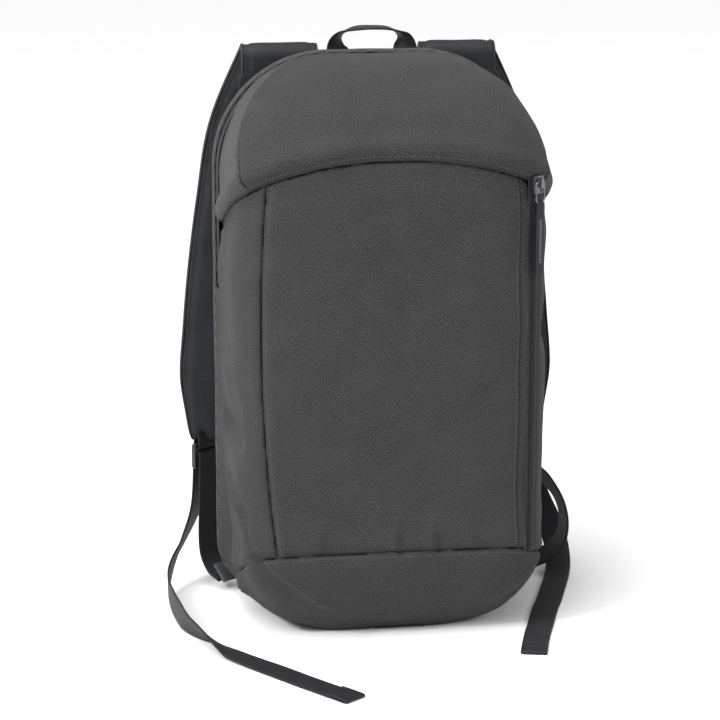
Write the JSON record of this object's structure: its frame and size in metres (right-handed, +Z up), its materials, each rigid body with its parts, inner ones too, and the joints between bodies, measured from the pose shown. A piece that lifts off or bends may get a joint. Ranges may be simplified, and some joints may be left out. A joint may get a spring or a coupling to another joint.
{
  "type": "daypack",
  "caption": "Soft daypack with a hooded top, zipped front pocket, padded shoulder straps on ladder locks and a webbing haul loop.",
  "frame": {"origin": "middle of the face the bag rests on", "axes": "+Z up, +Y towards the straps and the wearer's back, +X to the right seen from the front"},
  "size_m": [0.3321, 0.2997, 0.4462],
  "materials": {
    "shell_fabric": "charcoal heather twill",
    "plain_fabric": "plain black nylon",
    "mesh_fabric": "black spacer mesh",
    "lining_fabric": "grey coated lining",
    "foam": "closed-cell foam",
    "zip_tape": "knitted tape",
    "zip_coil": "nylon coil",
    "slider_metal": "dark satin metal",
    "webbing": "woven black webbing",
    "lock_plastic": "moulded black plastic"
  },
  "bodies": {
    "root": {"front_panel": "shell_fabric", "zip_placket": "shell_fabric", "hood_panel": "shell_fabric", "upper_gusset_left": "shell_fabric", "upper_gusset_right": "shell_fabric", "base_panel": "shell_fabric", "side_panel_left": "shell_fabric", "side_panel_right": "shell_fabric", "back_gusset": "shell_fabric", "back_panel": "plain_fabric", "main_lining": "lining_fabric", "pocket_wall": "lining_fabric", "back_foam": "foam", "base_pad": "foam", "back_pad": "mesh_fabric", "yoke": "plain_fabric", "front_zip_tape_left": "zip_tape", "front_zip_tape_right": "zip_tape", "front_zip_coil": "zip_coil", "main_zip_tape_front": "zip_tape", "main_zip_tape_back": "zip_tape", "main_zip_coil": "zip_coil", "strap_root_left": "plain_fabric", "strap_root_right": "plain_fabric", "anchor_wing_left": "plain_fabric", "anchor_wing_right": "plain_fabric", "haul_loop_anchors": "webbing"},
    "front_slider": {"front_zip_slider": "slider_metal"},
    "front_pull": {"front_pull_ring": "slider_metal", "front_pull_tab": "webbing"},
    "main_slider": {"main_zip_slider": "slider_metal"},
    "main_pull": {"main_pull_ring": "slider_metal", "main_pull_tab": "webbing"},
    "haul_loop": {"haul_loop_webbing": "webbing"},
    "left_strap": {"strap_face_left": "plain_fabric", "strap_foam_left": "foam", "strap_lining_left": "mesh_fabric", "strap_binding_left": "webbing", "strap_end_loop_left": "webbing", "ladder_lock_left": "lock_plastic", "lower_webbing_left": "webbing", "webbing_tail_left": "webbing", "webbing_tip_left": "webbing"},
    "right_strap": {"strap_face_right": "plain_fabric", "strap_foam_right": "foam", "strap_lining_right": "mesh_fabric", "strap_binding_right": "webbing", "strap_end_loop_right": "webbing", "ladder_lock_right": "lock_plastic", "lower_webbing_right": "webbing", "webbing_tail_right": "webbing", "webbing_tip_right": "webbing"}
  },
  "joints": [
    {"name": "front_slider_slide", "type": "slide", "parent": "root", "child": "front_slider", "axis": [0, 0, -1], "range_m": [0, 0.25]},
    {"name": "front_pull_swing", "type": "hinge", "parent": "front_slider", "child": "front_pull", "pos_m": [0.1061, -0.06355, 0.347], "axis": [-0.866, -0.5, 0], "range_deg": [0, 140]},
    {"name": "main_slider_arc", "type": "hinge", "parent": "root", "child": "main_slider", "pos_m": [0.035, 0.053, 0.342], "axis": [0, -1, 0], "range_deg": [0, 90]},
    {"name": "main_pull_swing", "type": "hinge", "parent": "main_slider", "child": "main_pull", "pos_m": [0.1258, 0.053, 0.344], "axis": [0, -1, 0], "range_deg": [0, 120]},
    {"name": "haul_loop_tilt", "type": "hinge", "parent": "root", "child": "haul_loop", "pos_m": [0, 0.0766, 0.4106], "axis": [-1, 0, 0], "range_deg": [0, 75]},
    {"name": "left_strap_swing", "type": "hinge", "parent": "root", "child": "left_strap", "pos_m": [-0.069, 0.084, 0.424], "axis": [1, 0, 0], "range_deg": [0, 12]},
    {"name": "right_strap_swing", "type": "hinge", "parent": "root", "child": "right_strap", "pos_m": [0.069, 0.084, 0.424], "axis": [1, 0, 0], "range_deg": [0, 12]}
  ]
}
